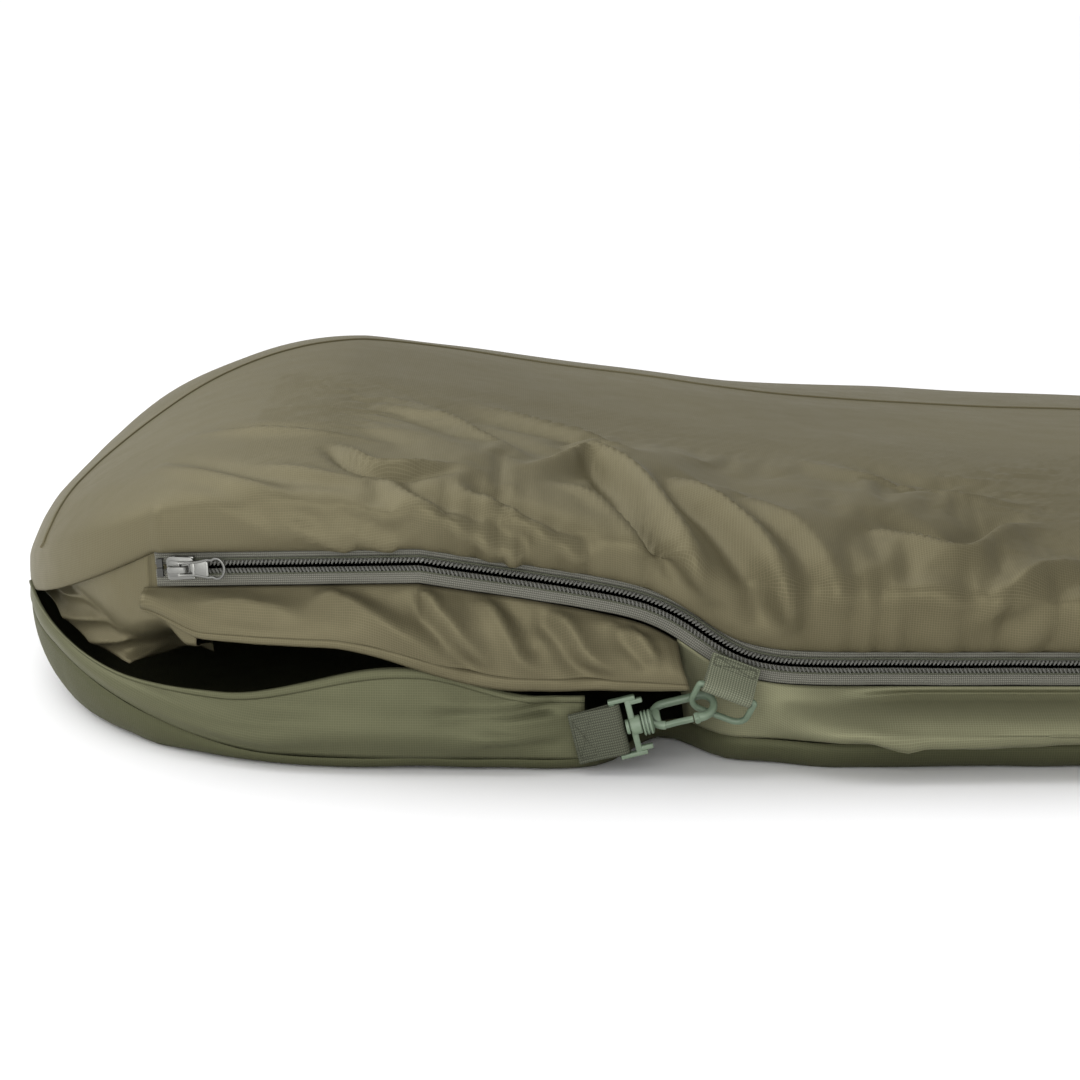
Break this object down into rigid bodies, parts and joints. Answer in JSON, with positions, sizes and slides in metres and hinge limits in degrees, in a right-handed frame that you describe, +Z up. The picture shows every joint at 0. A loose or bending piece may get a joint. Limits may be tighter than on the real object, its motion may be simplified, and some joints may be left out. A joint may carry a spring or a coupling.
{
  "type": "bivy sack",
  "caption": "Ripstop bivy sack lofted for use, with a domed hood, side zip, open mouth and a clipped webbing closure.",
  "frame": {"origin": "on the ground under the middle of the sack's length and width", "axes": "+X from the head to the foot, -Y towards the zip side, +Z up"},
  "size_m": [2.2024, 0.6947, 0.1599],
  "materials": {
    "shell_cloth": "satin ripstop nylon",
    "floor_cloth": "satin coated nylon",
    "zip_tape": "matt woven tape",
    "seam_tape": "sealed film",
    "zip_coil": "satin nylon coil",
    "slider_metal": "worn gunmetal",
    "webbing": "woven webbing",
    "thread": "stitching",
    "clip_plastic": "moulded acetal"
  },
  "bodies": {
    "sack": {"top_shell": "shell_cloth", "groundsheet": "floor_cloth", "side_panel": "shell_cloth", "hood_lip": "shell_cloth", "lip_hem": "shell_cloth", "hood_gusset": "shell_cloth", "shell_seam_tape": "seam_tape", "zip_tape_upper": "zip_tape", "zip_tape_lower": "zip_tape", "zip_coil_upper": "zip_coil", "zip_coil_lower": "zip_coil", "zip_top_stops": "slider_metal", "zip_bottom_stop": "slider_metal", "hook_strap": "webbing", "hook_strap_stitches": "thread", "ring_strap": "webbing", "ring_strap_stitches": "thread"},
    "flap": {"mouth_flap": "shell_cloth", "flap_hem": "shell_cloth"},
    "slider": {"slider_body": "slider_metal", "slider_crown": "slider_metal"},
    "pull": {"pull_tab": "slider_metal"},
    "clip_base": {"hook_base": "clip_plastic"},
    "clip_hook": {"hook_body": "clip_plastic"},
    "clip_gate": {"hook_gate": "clip_plastic"},
    "ring": {"d_ring": "clip_plastic"}
  },
  "joints": [
    {"name": "slider_run", "type": "slide", "parent": "sack", "child": "slider", "axis": [0.9733, -0.2206, 0.0633], "range_m": [0, 0.104]},
    {"name": "pull_flip", "type": "hinge", "parent": "slider", "child": "pull", "pos_m": [-0.98324, -0.31363, 0.09521], "axis": [0.0617, -0.014, -0.998], "range_deg": [0, 160]},
    {"name": "flap_lift", "type": "hinge", "parent": "sack", "child": "flap", "pos_m": [-0.988, -0.306, 0.0835], "axis": [-0.9922, 0.1229, 0.0205], "range_deg": [0, 15]},
    {"name": "clip_swing", "type": "hinge", "parent": "sack", "child": "clip_base", "pos_m": [-0.76991, -0.3436, 0.02307], "axis": [-0.2419, 0, 0.9703], "range_deg": [-2.5, 1.3]},
    {"name": "hook_swivel", "type": "hinge", "parent": "clip_base", "child": "clip_hook", "pos_m": [-0.767, -0.3436, 0.0238], "axis": [0.9703, 0, 0.2419], "range_deg": [-6, 6]},
    {"name": "gate_press", "type": "hinge", "parent": "clip_hook", "child": "clip_gate", "pos_m": [-0.74753, -0.34703, 0.0259], "axis": [-0.1906, -0.6157, 0.7646], "range_deg": [0, 16], "stiffness_Nm_per_rad": 0.05},
    {"name": "ring_swing", "type": "hinge", "parent": "sack", "child": "ring", "pos_m": [-0.718, -0.3493, 0.0426], "axis": [0.9336, 0, -0.3584], "range_deg": [-7.75, 7.75]}
  ],
  "couplings": [
    {"joint": "ring_swing", "follows": "clip_swing", "ratio": 3.1}
  ]
}
